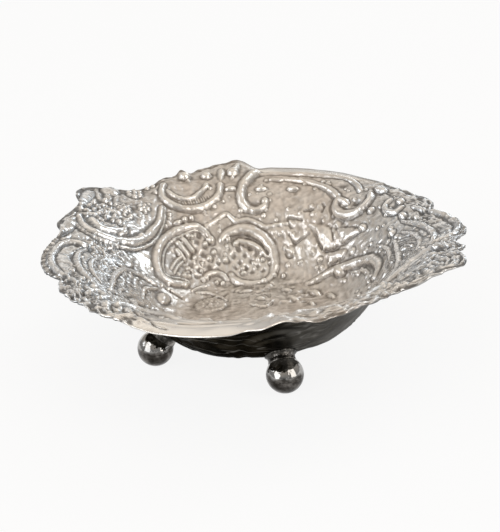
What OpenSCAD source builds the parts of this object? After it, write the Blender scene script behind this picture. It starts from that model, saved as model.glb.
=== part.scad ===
// Embossed silver bonbon dish on three hollow ball feet.
// +Z is up, the dish's middle is the origin and the feet stand on Z = 0. Lengths are in millimetres.
// The rim and the embossed ornament repeat after half a turn. A place on the sheet is written as
// [distance from the middle in plan, angle], with the angle counted from +X towards +Y.

/* [Dish] */
// Mean distance from the middle to the rim
rim_radius = 58.8; // [54:0.1:70]
// Height of the rim's plain lobes above the table, at the underside
rim_height = 32.4; // [27:0.1:40]
// Height of the flat floor above the table, at the underside
floor_height = 8.2; // [7.6:0.1:8.6]
// Radius of the flat floor
floor_radius = 26.3; // [25:0.1:27]
// Radius where the wall has reached the height of the rim
wall_radius = 60; // [56:0.5:66]
// How early the wall turns up: 1 is an even S curve, less is earlier
wall_bias = 0.64; // [0.6:0.02:0.8]
// Radius where the lip leaves the wall's own sweep
lip_radius = 44; // [40:0.5:48]
// How far the plain lip hangs below that sweep at the rim
lip_drop = 1.1; // [0:0.1:2]
// Thickness of the silver sheet
sheet = 0.6; // [0.5:0.05:1]

/* [Ornament] */
// Height of the embossed scrolls and bosses, as a share of the full height
relief_share = 1; // [0.4:0.1:1.2]
// Depth that the foot of each scroll and boss is sunk into the sheet
relief_root = 0.3; // [0.1:0.05:0.4]
// Width of a scroll's ends, as a share of its full width
scroll_taper = 0.7; // [0.4:0.05:1]

/* [Feet] */
// Diameter of each ball foot
ball_d = 10.3; // [9:0.1:10.8]
// Wall of the hollow balls
ball_wall = 0.6; // [0.4:0.1:1.2]
// Diameter of the worn flat under each ball
wear_flat_d = 3; // [2:0.1:4]
// Distance from the middle to where the balls are soldered to the bowl
seat_radius = 27.6; // [27.4:0.1:28.2]
// Radius of the solder neck between a ball and the bowl
neck_r = 3.9; // [3.2:0.1:4.2]
// Radius of the solder's flat edge on the bowl
collar_r = 4.5; // [4.3:0.1:5.4]
// Thickness of that edge
collar_edge = 0.4; // [0.3:0.1:0.8]
// Depth that the solder runs into the sheet
collar_bite = 0.25; // [0.1:0.05:0.4]
// Angle of the front foot
front_foot_angle = -80.6; // [-100:0.1:-60]
// Angle of the left foot
left_foot_angle = -167; // [-180:0.1:-150]
// Angle of the back foot
back_foot_angle = 56.2; // [40:0.1:75]

/* [Resolution] */
// Steps around the dish
steps_around = 108; // [72:4:108]
// Rings up the wall
wall_rings = 7; // [5:1:7]
// How much closer the rings stand near the floor: 1 is even
ring_bias = 1.5; // [1:0.1:2]
// Rings across the lip
lip_rings = 4; // [3:1:4]
// Sides of each scroll's and boss's dome
dome_sides = 6; // [5:1:6]

/* [Hidden] */
silver = "#cfcac2";
polished_silver = "#b9b4ad";
solder_silver = "#a8a39b";

// Lobes of the rim: [angle, half width in degrees, extra reach, extra height]
rim_lobes = [
    [3, 8, 0, -0.7],
    [14.5, 4, -3, 0],
    [33, 17, -1.8, 0],
    [51, 5, -0.8, 0],
    [82, 24, 4, 0],
    [86, 2.5, -0.9, 0],
    [90.8, 3, 1.8, 0],
    [93.5, 5, 0, 1.6],
    [103, 9, 2.8, 0],
    [105, 22, 0, 2.4],
    [109.3, 1.5, 1.4, 0.3],
    [115, 4, 1.3, 0.4],
    [134, 7, 3.2, 0],
    [141, 6, 6.8, 0],
    [141, 12, 0, 5.6],
    [146, 3, 1.3, 0],
    [156, 6, 1.6, 0],
    [158, 13, 0, 3],
    [164.5, 2.5, -1.2, 0],
    [178, 7, 1.7, 0]
];

// Embossed scrolls: [half width, height, points along the crest]
basket_cradle = [2.3, 1.3, [[57.5, 154], [54.7, 157], [51, 158], [47.5, 156], [44.5, 152],
    [42.7, 147.2], [42.2, 141], [43, 134.5], [45, 128.5], [48.7, 124]]];
basket_inner = [1.7, 0.9, [[53.8, 152], [50.5, 152.5], [48, 149], [47, 144.5]]];
end_scroll = [1.9, 0.9, [[50.5, 166.5], [54, 167.5], [56.5, 171], [57.4, 176], [57.3, 181.5], [55.5, 188]]];
left_trellis_scroll = [2, 1.1, [[38.5, 112], [41, 114.5], [42, 118.5], [41.8, 123], [41, 128],
    [40.3, 133], [39.7, 138.5], [37.8, 144], [35, 148], [32.3, 147.5], [30.4, 144], [29.5, 139.5]]];
right_trellis_scroll = [2, 1.1, [[37.3, 105.5], [38.4, 102], [39, 97], [39, 92.5], [38.2, 87.5],
    [36, 82.5], [33.6, 79.8], [30.5, 78], [27.3, 79]]];
rim_festoon = [1.9, 1.1, [[56.7, 118], [54.4, 120], [51.3, 121], [48.3, 119], [46.5, 115.5],
    [45.8, 111], [46.3, 107], [47.8, 103], [49.5, 100.7], [52, 99.6]]];
lobe_hook = [1.9, 1.1, [[57.2, 87.2], [54.5, 89.3], [51.5, 91.5], [48.3, 92.8], [45.4, 92.8],
    [43.5, 90.6], [43, 87], [43.8, 84.2], [45.3, 83.8]]];
lobe_border = [1.6, 0.8, [[56.3, 86], [56.4, 80], [56.2, 74], [56, 68], [55.8, 62], [55.2, 56],
    [53.3, 51], [51, 47.5]]];
lobe_inner_border = [1.5, 0.8, [[53, 82], [53, 76], [52.3, 69.5], [51, 64], [49.3, 59], [47.5, 55]]];
lobe_volute = [1.9, 1.2, [[46.2, 50.3], [46.3, 53.6], [44.2, 53.3], [42.8, 49.8], [43, 45.5],
    [44.9, 41.8], [48, 40.8], [50, 42]]];
small_scroll = [1.6, 0.9, [[50.7, 33], [48, 32.5], [46.8, 29], [47.7, 25.5], [50, 25.3]]];
end_cartouche = [1.9, 1, [[24.6, 51.5], [29.5, 42], [31.8, 33.5], [33.8, 26.5], [35.5, 20], [36.3, 13.5],
    [36, 7], [34.2, 2.5]]];
crescent = [1.6, 0.8, [[27, 104], [25, 101], [24.1, 95], [24.8, 89.5]]];
floor_arch = [1.5, 0.7, [[25.8, 108], [28, 109.5], [30, 114], [30, 118], [28.3, 122]]];
scrolls = [basket_cradle, basket_inner, end_scroll, left_trellis_scroll, right_trellis_scroll,
    rim_festoon, lobe_hook, lobe_border, lobe_inner_border, lobe_volute, small_scroll, end_cartouche,
    crescent, floor_arch];

// Embossed bosses: [radius, height, place]
bosses = [
    [4.8, 1, [17.6, 144]],
    [2.4, 0.9, [58.6, 109.7]],
    [2.2, 0.9, [57.3, 103]],
    [3, 1, [57, 94.5]],
    [2.8, 1, [57.5, 128]],
    [2.6, 0.9, [54, 138.5]],
    [2.6, 0.9, [58, 144]],
    [2.6, 1, [52.8, 40.7]],
    [2, 1, [51.4, 28.7]],
    [1.9, 0.9, [47.8, 21.2]],
    [2.4, 1.1, [30.3, 34.2]],
    [2.6, 0.8, [36.5, 66]],
    [2.6, 0.8, [33.5, 52]]
];

ball_r = ball_d / 2;
ball_z = sqrt(pow(ball_r, 2) - pow(wear_flat_d / 2, 2));
seat_lean = atan(wall_slope(seat_radius));
// Distance from a ball's middle to the bowl's underside, along the seat's normal
ball_reach = (wall_z(seat_radius) - ball_z) / cos(seat_lean);
foot_circle = seat_radius + ball_reach * sin(seat_lean);
// Plan of the bowl's underside around a foot: across the floor's edge, then up the wall in even steps
seat_reach = 8;
seat_plan = concat([seat_radius - seat_reach], [for (r = [floor_radius : 1 : seat_radius + seat_reach]) r]);

function polar(r, angle) = r * [cos(angle), sin(angle)];

// Angle between two directions when half a turn counts as nothing, from -90 to 90
function half_turn_gap(a, b) = a - b - 180 * round((a - b) / 180);

// Sum of one column of the rim's lobes at an angle
function lobe_sum(angle, column) =
    [for (lobe = rim_lobes) lobe[column] * exp(-pow(half_turn_gap(angle, lobe[0]) / lobe[1], 2))]
    * [for (lobe = rim_lobes) 1];
function rim_reach(angle) = rim_radius + lobe_sum(angle, 2);

// Underside of the plain bowl, before the lip is shaped
function wall_share(r) = pow(min(1, max(0, (r - floor_radius) / (wall_radius - floor_radius))), wall_bias);
function wall_z(r) = floor_height + (rim_height - floor_height) * (1 - cos(180 * wall_share(r))) / 2;
function wall_slope(r) = (wall_z(r + 0.1) - wall_z(r - 0.1)) / 0.2;

// Underside of the bowl with its hanging lip and lifted corners
function lift(r, angle) =
    (lobe_sum(angle, 3) - lip_drop) * pow(max(0, (r - lip_radius) / (rim_reach(angle) - lip_radius)), 2);
function under_z(r, angle) = wall_z(r) + lift(r, angle);
function under_slope(r, angle) = (under_z(r + 0.1, angle) - under_z(r - 0.1, angle)) / 0.2;

// Distance from the middle to a ring of the shell, 0 being the floor's edge
function ring_r(ring, angle) =
    ring <= wall_rings ? floor_radius + (lip_radius - floor_radius) * pow(ring / wall_rings, ring_bias) :
    lip_radius + (rim_reach(angle) - lip_radius) * (ring - wall_rings) / lip_rings;

// A point of the shell, set off from the underside along the wall's normal
function shell_point(r, angle, offset) =
    let (lean = atan(under_slope(r, angle)))
    concat(polar(r - offset * sin(lean), angle), under_z(r, angle) + offset * cos(lean));

// The plain sheet: two nets of rings, the underside and the inside, joined along the rim
module dish_shell() {
    last = wall_rings + lip_rings;
    step = 360 / steps_around;
    around = [0 : steps_around - 1];
    size = (last + 1) * steps_around;
    function net(offset) = [for (ring = [0 : last]) for (i = around)
        shell_point(ring_r(ring, i * step), i * step, offset)];
    function at(ring, i) = 2 + ring * steps_around + i % steps_around;
    under_faces = concat(
        [for (i = around) [0, at(0, i), at(0, i + 1)]],
        [for (ring = [0 : last - 1]) for (i = around) [at(ring, i), at(ring + 1, i), at(ring, i + 1)]],
        [for (ring = [0 : last - 1]) for (i = around) [at(ring, i + 1), at(ring + 1, i), at(ring + 1, i + 1)]]);
    over_faces = [for (face = under_faces) [for (i = [2 : -1 : 0]) face[i] < 2 ? 1 : face[i] + size]];
    rim_faces = concat(
        [for (i = around) [at(last, i), at(last, i) + size, at(last, i + 1)]],
        [for (i = around) [at(last, i + 1), at(last, i) + size, at(last, i + 1) + size]]);
    polyhedron(
        points = concat([[0, 0, floor_height], [0, 0, floor_height + sheet]], net(0), net(sheet)),
        faces = concat(under_faces, over_faces, rim_faces));
}

// A low dome on the inside of the sheet, square to it
module dome(place, half_width, height) {
    rise = height * relief_share;
    lean = atan(under_slope(place[0], place[1]));
    translate(shell_point(place[0], place[1], sheet)) rotate([0, -lean, place[1]])
        rotate_extrude($fn = dome_sides)
        polygon([[0, -relief_root], [half_width, -relief_root], [0.62 * half_width, 0.75 * rise], [0, rise]]);
}

// A rounded ridge from dome to dome, narrower at its ends
module scroll_ridge(half_width, height, path) {
    last = len(path) - 1;
    function width(i) = half_width * (i == 0 || i == last ? scroll_taper : 1);
    for (i = [0 : last - 1]) hull() {
        dome(path[i], width(i), height);
        dome(path[i + 1], width(i + 1), height);
    }
}

// All scrolls and bosses, and the same again after half a turn
module ornament() {
    for (turn = [0, 180]) rotate([0, 0, turn]) {
        for (scroll = scrolls) scroll_ridge(scroll[0], scroll[1], scroll[2]);
        for (boss = bosses) dome(boss[2], boss[0], boss[1]);
    }
}

// Moves to the middle of a foot's ball
module at_foot(angle) {
    rotate([0, 0, angle]) translate([foot_circle, 0, ball_z]) children();
}

// Hollow ball with its worn flat
module ball_shell() {
    difference() {
        sphere(r = ball_r, $fn = 64);
        sphere(r = ball_r - ball_wall, $fn = 64);
        translate([-ball_d, -ball_d, -ball_z - ball_d]) cube([2 * ball_d, 2 * ball_d, ball_d]);
    }
}

module foot_upper_half(angle) {
    color(polished_silver) at_foot(angle) intersection() {
        ball_shell();
        translate([-ball_d, -ball_d, 0]) cube(2 * ball_d);
    }
}

module foot_lower_half(angle) {
    color(polished_silver) at_foot(angle) intersection() {
        ball_shell();
        translate([-ball_d, -ball_d, -2 * ball_d]) cube(2 * ball_d);
    }
}

// Ring that follows the bowl's underside around the feet, from one height beside it to another
module underside_ring(low, high) {
    below = [for (r = seat_plan) [r, wall_z(r) + low]];
    above = [for (i = [len(seat_plan) - 1 : -1 : 0]) [seat_plan[i], wall_z(seat_plan[i]) + high]];
    rotate_extrude($fn = 96) polygon(concat(below, above));
}

// A rod from the middle of a ball towards the bowl, square to the bowl
module seat_rod(angle, r) {
    at_foot(angle) rotate([0, -seat_lean, 0]) cylinder(r = r, h = ball_reach + neck_r, $fn = 64);
}

// Neck of solder between a ball and the bowl, with a thin flat edge that follows the bowl
module foot_solder(angle) {
    color(solder_silver) difference() {
        union() {
            seat_rod(angle, neck_r);
            intersection() {
                seat_rod(angle, collar_r);
                underside_ring(-collar_edge, collar_bite + sheet);
            }
        }
        at_foot(angle) sphere(r = ball_r, $fn = 64);
        underside_ring(collar_bite, seat_reach);
    }
}

module dish_body() {
    color(silver) {
        dish_shell();
        ornament();
    }
}

module front_foot_upper_half() { foot_upper_half(front_foot_angle); }
module front_foot_lower_half() { foot_lower_half(front_foot_angle); }
module front_foot_solder() { foot_solder(front_foot_angle); }
module left_foot_upper_half() { foot_upper_half(left_foot_angle); }
module left_foot_lower_half() { foot_lower_half(left_foot_angle); }
module left_foot_solder() { foot_solder(left_foot_angle); }
module back_foot_upper_half() { foot_upper_half(back_foot_angle); }
module back_foot_lower_half() { foot_lower_half(back_foot_angle); }
module back_foot_solder() { foot_solder(back_foot_angle); }

dish_body();
front_foot_upper_half();
front_foot_lower_half();
front_foot_solder();
left_foot_upper_half();
left_foot_lower_half();
left_foot_solder();
back_foot_upper_half();
back_foot_lower_half();
back_foot_solder();
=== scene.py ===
"""Embossed silver bonbon dish on hollow ball feet.

Lengths are in millimetres until a mesh is made. A place on the sheet is written as (distance from the
middle in plan, angle in degrees from +X towards +Y). The rim and the ornament repeat after half a turn,
apart from what one side alone has.
"""
import math

import bpy
import numpy as np
from mathutils import Matrix, Vector


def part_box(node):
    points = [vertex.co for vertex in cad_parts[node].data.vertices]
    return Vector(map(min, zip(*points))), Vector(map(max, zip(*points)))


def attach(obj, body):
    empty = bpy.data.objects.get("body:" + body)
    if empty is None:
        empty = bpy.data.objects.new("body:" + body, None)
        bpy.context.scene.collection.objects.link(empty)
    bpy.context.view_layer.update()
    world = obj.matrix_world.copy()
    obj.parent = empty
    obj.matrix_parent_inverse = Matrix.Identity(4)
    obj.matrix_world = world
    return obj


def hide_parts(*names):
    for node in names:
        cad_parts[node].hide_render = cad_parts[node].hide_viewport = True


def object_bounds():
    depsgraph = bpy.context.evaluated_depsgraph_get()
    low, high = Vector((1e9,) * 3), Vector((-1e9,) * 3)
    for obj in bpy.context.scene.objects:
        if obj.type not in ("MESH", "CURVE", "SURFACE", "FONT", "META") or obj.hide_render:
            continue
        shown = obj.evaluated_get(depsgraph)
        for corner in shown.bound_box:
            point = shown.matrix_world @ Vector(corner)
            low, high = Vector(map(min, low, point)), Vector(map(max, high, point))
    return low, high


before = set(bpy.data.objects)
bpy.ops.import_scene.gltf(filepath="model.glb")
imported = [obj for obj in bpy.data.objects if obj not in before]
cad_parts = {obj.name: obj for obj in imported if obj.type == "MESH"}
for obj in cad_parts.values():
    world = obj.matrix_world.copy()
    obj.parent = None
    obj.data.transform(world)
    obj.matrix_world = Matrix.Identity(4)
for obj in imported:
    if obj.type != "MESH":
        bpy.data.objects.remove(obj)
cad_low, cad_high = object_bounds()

MM = 0.001

# Dish
RIM_RADIUS = 58.8
RIM_HEIGHT = 32.4
FLOOR_HEIGHT = 8.2
FLOOR_RADIUS = 26.3
WALL_RADIUS = 60.0
WALL_BIAS = 0.64
LIP_RADIUS = 44.0
LIP_DROP = 1.1
SHEET = 0.6
WALL_STRETCH = 1.26
EDGE_ROUND = 0.3

# Rounding between floor and wall on the upper side: reach, and radii where it starts to fade and ends
FILLET = 5.0
FILLET_FADE, FILLET_END = 32, 42

# Share of the relief that shows as hollows on the underside, and the least metal left under a dent
BACK_SHARE = 0.5
THINNEST = 0.25

# Lobes of the rim: angle, half width in degrees, extra reach, extra height
RIM_LOBES = (
    (3, 8, 0, -0.7), (14.5, 4, -3, 0), (33, 17, -1.8, 0), (51, 5, -0.8, 0), (82, 24, 4, 0),
    (86, 2.5, -0.9, 0), (90.8, 3, 1.8, 0), (93.5, 5, 0, 1.6), (103, 9, 2.8, 0), (105, 22, 0, 2.4),
    (109.3, 1.5, 1.4, 0.3), (115, 4, 1.3, 0.4), (134, 7, 3.2, 0), (141, 6, 6.8, 0),
    (141, 12, 0, 5.6), (146, 3, 1.3, 0), (156, 6, 1.6, 0), (158, 13, 0, 3),
    (164.5, 2.5, -1.2, 0), (178, 7, 1.7, 0),
)

# Small knobs and dips of the rim, those that one side alone has, and one end lobe shorter than its twin
RIM_KNOBS = ((148, 2.5, -0.9, 0), (160.5, 4, 1.1, 0.2))
LONE_KNOBS = (
    (87, 2.5, 0, -0.5), (93, 2.5, 0, 0.6), (99, 1.4, 0, 0.5), (106.5, 1.3, -0.2, -0.5),
    (109.8, 1.6, 0.3, 0.7), (117, 3, 0, 0.6), (322, 4, 1.0, 0), (331, 4, 3.0, 0), (338, 4, -3.0, 0),
)
END_LOBE = 2.0
END_SPREAD = 7.0
END_SHORT = 1.8

# Nicks in the crumpled stretches of the rim: depth, cell, and middle and half width of each stretch
TATTER = 1.1
TATTER_CELL = 1.6
TATTERED = ((318, 34), (213, 28))
STRETCH_BLEND = 6

# Middles of the worn near lip, the plain lobe, its plain edge and the far rim
WORN_LIP = 262
PLAIN_LOBE = 70
PLAIN_EDGE = 68
FAR_RIM = 95

# Feet
SEAT_RADIUS = 27.6
SEAT_CLEAR = 6.0
BALL_WALL = 0.6
BALL_STEPS = 96
COLLAR_STEPS = 96
SEAM = 0.04
POLE = 0.02

# Camera, found from the rim, the bowl and the feet
IMAGE_W, IMAGE_H = 500, 532
CAMERA_ELEVATION = 22.37
CAMERA_DISTANCE = 400.0
CAMERA_TARGET = (-1.6, 0.0, 24.56)
CAMERA_ROLL = 5.19
FOCAL_PIXELS = 1407.9
SENSOR = 36.0


def turn_gap(angle, middle, turn=360):
    """Angle from middle, counted either way, where a whole turn counts as nothing."""
    return (angle - middle + turn / 2) % turn - turn / 2


def lobe_sum(angle, column):
    """One column of the rim's lobes, summed at each angle."""
    total = np.zeros_like(angle)
    for lobes, turn in ((RIM_LOBES + RIM_KNOBS, 180), (LONE_KNOBS, 360)):
        for lobe in lobes:
            total += lobe[column] * np.exp(-(turn_gap(angle, lobe[0], turn) / lobe[1]) ** 2)
    return total


def rim_reach(angle):
    short = END_SHORT * np.exp(-(turn_gap(angle, END_LOBE) / END_SPREAD) ** 2)
    return RIM_RADIUS + lobe_sum(angle, 2) - short + tatter(angle)


def tatter(angle):
    """Uneven nicks in the edge of the crumpled stretches of the rim."""
    crumpled = np.zeros_like(angle)
    for middle, half in TATTERED:
        gap = np.abs(turn_gap(angle, middle))
        crumpled = np.maximum(crumpled, ramp(gap, half, half - STRETCH_BLEND))
    return TATTER * crumpled * (value_noise(angle, 0 * angle, TATTER_CELL, 81) - 0.6)


def wall_z(r):
    """Underside of the plain bowl."""
    share = np.clip((r - FLOOR_RADIUS) / (WALL_RADIUS - FLOOR_RADIUS), 0, 1) ** WALL_BIAS
    return FLOOR_HEIGHT + (RIM_HEIGHT - FLOOR_HEIGHT) * (1 - np.cos(np.pi * share)) / 2


def fillet(r):
    """Metal that rounds the corner between the floor and the wall on the upper side."""
    spread = np.linspace(-1, 1, 11) * FILLET
    level = sum(wall_z(r + step) for step in spread) / len(spread)
    return (level - wall_z(r)) * ramp(r, FILLET_END, FILLET_FADE)


def under_z(r, angle):
    """Underside of the bowl with its hanging lip and lifted corners."""
    share = np.clip((r - LIP_RADIUS) / (rim_reach(angle) - LIP_RADIUS), 0, None)
    return wall_z(r) + (lobe_sum(angle, 3) - LIP_DROP) * share ** 2


def over_z(r, angle):
    """Underside raised by the fillet, from which the upper side is set off."""
    return under_z(r, angle) + fillet(r)


def sheet_r(r):
    """Distance from the middle on the flattened sheet."""
    return r + (WALL_STRETCH - 1) * np.clip(r - FLOOR_RADIUS, 0, None)


def on_sheet(place):
    r, angle = sheet_r(np.float64(place[0])), math.radians(place[1])
    return np.array((r * math.cos(angle), r * math.sin(angle)))


def plan_xy(r, angle):
    return r * np.cos(np.radians(angle)), r * np.sin(np.radians(angle))


def ramp(value, low, high):
    return np.clip((value - low) / (high - low), 0, 1)


def spline(points, steps=7, closed=False):
    """Catmull-Rom curve through points."""
    points = np.asarray(points, float)
    if closed:
        padded = np.vstack((points[-1], points, points[0], points[1]))
    else:
        padded = np.vstack((2 * points[0] - points[1], points, 2 * points[-1] - points[-2]))
    out = []
    for i in range(len(padded) - 3):
        a, b, c, d = padded[i:i + 4]
        for t in np.arange(steps) / steps:
            out.append(0.5 * (2 * b + (c - a) * t + (2 * a - 5 * b + 4 * c - d) * t ** 2
                              + (3 * b - a - 3 * c + d) * t ** 3))
    out.append(padded[-2])
    return np.array(out)


def nearest(path, x, y):
    """Distance from each place to a path, its share of the path's length, and 1 to the path's left."""
    length = np.concatenate(([0], np.cumsum(np.hypot(*np.diff(path, axis=0).T))))
    share = length / length[-1]
    best = np.full(x.shape, 1e9)
    along, side = np.zeros_like(x), np.zeros_like(x)
    for i in range(len(path) - 1):
        step = path[i + 1] - path[i]
        from_x, from_y = x - path[i][0], y - path[i][1]
        t = np.clip((from_x * step[0] + from_y * step[1]) / (step @ step), 0, 1)
        gap = np.hypot(from_x - t * step[0], from_y - t * step[1])
        closer = gap < best
        best = np.where(closer, gap, best)
        along = np.where(closer, share[i] + t * (share[i + 1] - share[i]), along)
        side = np.where(closer, np.sign(step[0] * from_y - step[1] * from_x), side)
    return best, along, side


def within(path, x, y):
    """Whether each place lies inside a closed path."""
    inside = np.zeros(x.shape, bool)
    for (ax, ay), (bx, by) in zip(path[:-1], path[1:]):
        crosses = (ay > y) != (by > y)
        inside ^= crosses & (x < (bx - ax) * (y - ay) / (by - ay + 1e-12) + ax)
    return inside


def value_noise(x, y, cell, seed):
    """Smooth noise from 0 to 1 with bumps of one cell."""
    table = np.random.RandomState(seed).rand(97, 89)
    u, v = x / cell + 300, y / cell + 300
    i, j = np.floor(u).astype(int), np.floor(v).astype(int)
    s, t = u - i, v - j
    s, t = s * s * (3 - 2 * s), t * t * (3 - 2 * t)

    def at(di, dj):
        return table[(i + di) % 97, (j + dj) % 89]

    low = at(0, 0) * (1 - s) + at(1, 0) * s
    high = at(0, 1) * (1 - s) + at(1, 1) * s
    return low * (1 - t) + high * t


def crease_noise(x, y, cell, seed):
    """Noise from 0 to 1 with sharp ridges, as on a crumpled leaf."""
    return 1 - np.abs(2 * value_noise(x, y, cell, seed) - 1)


def leaf_noise(x, y, cell):
    """Creases of one cell with finer ones between them."""
    return 0.6 * crease_noise(x, y, cell, 21) + 0.4 * crease_noise(x, y, cell / 2, 22)


BOTH_HALVES, AS_WRITTEN = (1, -1), (1,)

# Depth of the line chased around scrolls and beads, and of a chased line on its own
GROOVE = 0.12
LINE_DEPTH = 0.6


class Relief:
    """Height of the ornament over a set of places on the flattened sheet, and the grime in its lines.

    turns says where the next ornaments go: as written, or after half a turn as well.
    """

    def __init__(self, r, angle):
        self.r, self.angle = r, angle
        self.x, self.y = plan_xy(sheet_r(r), angle)
        self.height = np.zeros_like(r)
        self.grime = np.zeros_like(r)
        self.turns = BOTH_HALVES

    def near(self, centre, reach, turn):
        """Indices of the places around centre, and the places, turned half round where turn is -1."""
        x, y = self.x * turn, self.y * turn
        inside = (np.abs(x - centre[0]) < reach[0]) & (np.abs(y - centre[1]) < reach[1])
        index = np.nonzero(inside)
        return index, x[index], y[index]

    def around(self, place, reach):
        """For each turn, indices around a place, offsets along the rim and outwards, and the places."""
        centre = on_sheet(place)
        tangent = math.radians(place[1] + 90)
        for turn in self.turns:
            index, x, y = self.near(centre, (reach, reach), turn)
            along = (x - centre[0]) * math.cos(tangent) + (y - centre[1]) * math.sin(tangent)
            inward = (y - centre[1]) * math.cos(tangent) - (x - centre[0]) * math.sin(tangent)
            yield index, along, -inward, x, y

    def beside(self, places, margin, closed=False):
        """For each turn, indices around a curve through places, the places there, and the curve."""
        path = spline([on_sheet(p) for p in places], closed=closed)
        centre = (path.min(0) + path.max(0)) / 2
        reach = (path.max(0) - path.min(0)) / 2 + margin
        for turn in self.turns:
            yield *self.near(centre, reach, turn), path

    def darken(self, index, share):
        self.grime[index] = np.maximum(self.grime[index], share)

    def set_in(self, index, s, body, line_at, line_spread):
        """Raises body where s is under 1, and cuts a line in the plain ground just outside it."""
        now = self.height[index]
        line = GROOVE * np.exp(-((s - line_at) / line_spread) ** 2) * (now < 0.3)
        self.height[index] = np.where(s < 1, np.maximum(now, body), now - line)

    def scroll(self, places, half_width, height, inner=0, start=0.7, end=0.7):
        """A ridge along a curve, tapering to its ends, with a chased line on both sides.

        inner adds a thin ridge along one side: 1 is left of the curve, -1 is right of it.
        """
        for index, x, y, path in self.beside(places, 2.2 * half_width):
            gap, along, side = nearest(path, x, y)
            swell = np.interp(along, (0, 0.35, 0.65, 1), (start, 1, 1, end))
            swell = swell * (0.88 + 0.24 * value_noise(x, y, 3.1, 11))
            s = gap / (half_width * swell)
            body = np.clip(1 - s * s, 0, None)
            if inner:
                across = s * side * inner
                main = np.clip(1 - ((across + 0.2) / 0.8) ** 2, 0, None)
                thin = np.clip(1 - ((across - 0.82) / 0.2) ** 2, 0, None)
                body = np.maximum(main, 0.6 * thin)
            self.set_in(index, s, height * swell * body, 1.2, 0.25)

    def lobe(self, places, height, crumple=0.5):
        """A leaf or petal: a pillow inside a closed outline, with a chased line around it."""
        for index, x, y, path in self.beside(places, 1.5, closed=True):
            gap = nearest(path, x, y)[0]
            lumps = 1 - crumple + 1.7 * crumple * leaf_noise(x, y, 2.6)
            pillow = height * (1 - np.exp(-gap / 1.3)) * lumps
            now = self.height[index]
            line = 0.16 * np.exp(-(gap / 0.45) ** 2) * (now < 0.35)
            self.height[index] = np.where(within(path, x, y), np.maximum(now, pillow), now) - line

    def crinkles(self, first, last, depth, height):
        """Crumpled lines that follow the rim between two angles, down to a depth from it."""
        middle, half = (first + last) / 2, (last - first) / 2
        gap = turn_gap(self.angle, middle)
        inward = rim_reach(self.angle) - self.r
        lines = 0.6 * crease_noise(inward + 0.16 * gap, 0.3 * gap, 1.5, 71)
        lines = lines + 0.4 * crease_noise(inward - 0.1 * gap, 0.3 * gap, 0.8, 72) - 0.6
        fade = ramp(np.abs(gap), half, half - STRETCH_BLEND)
        fade = fade * ramp(inward, depth, 0.6 * depth) * ramp(inward, -0.2, 0.6)
        self.height += height * fade * lines
        self.grime = np.maximum(self.grime, min(1, height) * fade * ramp(lines, 0.06, -0.06))

    def chase(self, places, half_width):
        """A chased line along a curve."""
        for index, x, y, path in self.beside(places, 3 * half_width):
            gap, along, _ = nearest(path, x, y)
            line = np.exp(-(gap / half_width) ** 2) * np.sin(np.pi * along) ** 0.3
            self.height[index] -= LINE_DEPTH * line
            self.darken(index, 0.8 * line)

    def hollow(self, place, radius, depth, stretch=1.0):
        """A soft hollow, longer along the rim where stretch is over 1."""
        for index, along, outward, _, _ in self.around(place, 2.5 * radius * stretch):
            self.height[index] -= depth * np.exp(-(along / stretch / radius) ** 2 - (outward / radius) ** 2)

    def hatch(self, place, half_along, half_out, pitch, height):
        """Fine chased lines across an oval of plain ground."""
        for index, along, outward, x, y in self.around(place, max(half_along, half_out)):
            fade = ramp(np.hypot(along / half_along, outward / half_out), 1, 0.7)
            across = 0.8 * along + 0.6 * outward + 1.2 * value_noise(x, y, 3.0, 33)
            line = np.abs(np.cos(np.pi * across / pitch)) * (0.4 + 0.9 * value_noise(x, y, 1.2, 34))
            fade = fade * (self.height[index] < 0.35)
            self.height[index] += height * fade * (line - 0.5)
            self.darken(index, 0.8 * fade * ramp(line, 0.4, 0.15))

    def bead(self, place, radius, height, stretch=1.0, square=2):
        """A domed boss, flatter on top where square is over 2 and longer along the rim by stretch."""
        for index, along, outward, _, _ in self.around(place, 1.5 * radius * max(1, stretch)):
            s = np.hypot(along / stretch, outward) / radius
            dome = height * np.clip(1 - s ** square, 0, None) ** 0.6
            self.set_in(index, s, dome, 1.18, 0.2)

    def foliage(self, place, half_along, half_out, height):
        """Crumpled leaves that fill an oval."""
        for index, along, outward, x, y in self.around(place, max(half_along, half_out)):
            fade = ramp(np.hypot(along / half_along, outward / half_out), 1, 0.75)
            level = height * fade * (leaf_noise(x, y, 3.4) - 0.5) * 1.6
            ground = self.height[index] < 0.25
            self.height[index] = np.where(ground, level, self.height[index])

    def trellis(self, place, half_along, half_out, pitch, depth):
        """Crossing bands with a soft pit in each diamond, inside an oval."""
        for index, along, outward, x, y in self.around(place, max(half_along, half_out)):
            along = along + 0.5 * (value_noise(x, y, 4.0, 31) - 0.5)
            p, q = (along + outward) / math.sqrt(2), (along - outward) / math.sqrt(2)
            pit = np.abs(np.sin(np.pi * p / pitch) * np.sin(np.pi * q / pitch))
            fade = ramp(np.hypot(along / half_along, outward / half_out), 1, 0.85)
            ground = self.height[index] < 0.2
            level = fade * (0.1 - depth * pit * (0.5 + value_noise(x, y, 3.0, 32)))
            self.height[index] = np.where(ground, level, self.height[index])
            self.darken(index, 0.55 * fade * ground * ramp(pit, 0.45, 0.9))

    def flutes(self, place, inner, outer, spread, folds, height):
        """Flutes that fan out from a place towards the rim."""
        for index, along, outward, x, y in self.around(place, outer):
            d = np.hypot(along, outward)
            fan = np.degrees(np.arctan2(along, outward)) + 5 * (value_noise(x, y, 4, 41) - 0.5)
            flute = np.abs(np.cos(np.pi * folds * fan / (2 * spread)))
            edge = ramp(np.abs(fan), spread, spread - 8) * ramp(d, inner, inner + 2)
            edge = edge * ramp(d, outer, outer - 1.5)
            self.height[index] = np.maximum(self.height[index], height * edge * (flute - 0.4))

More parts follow.
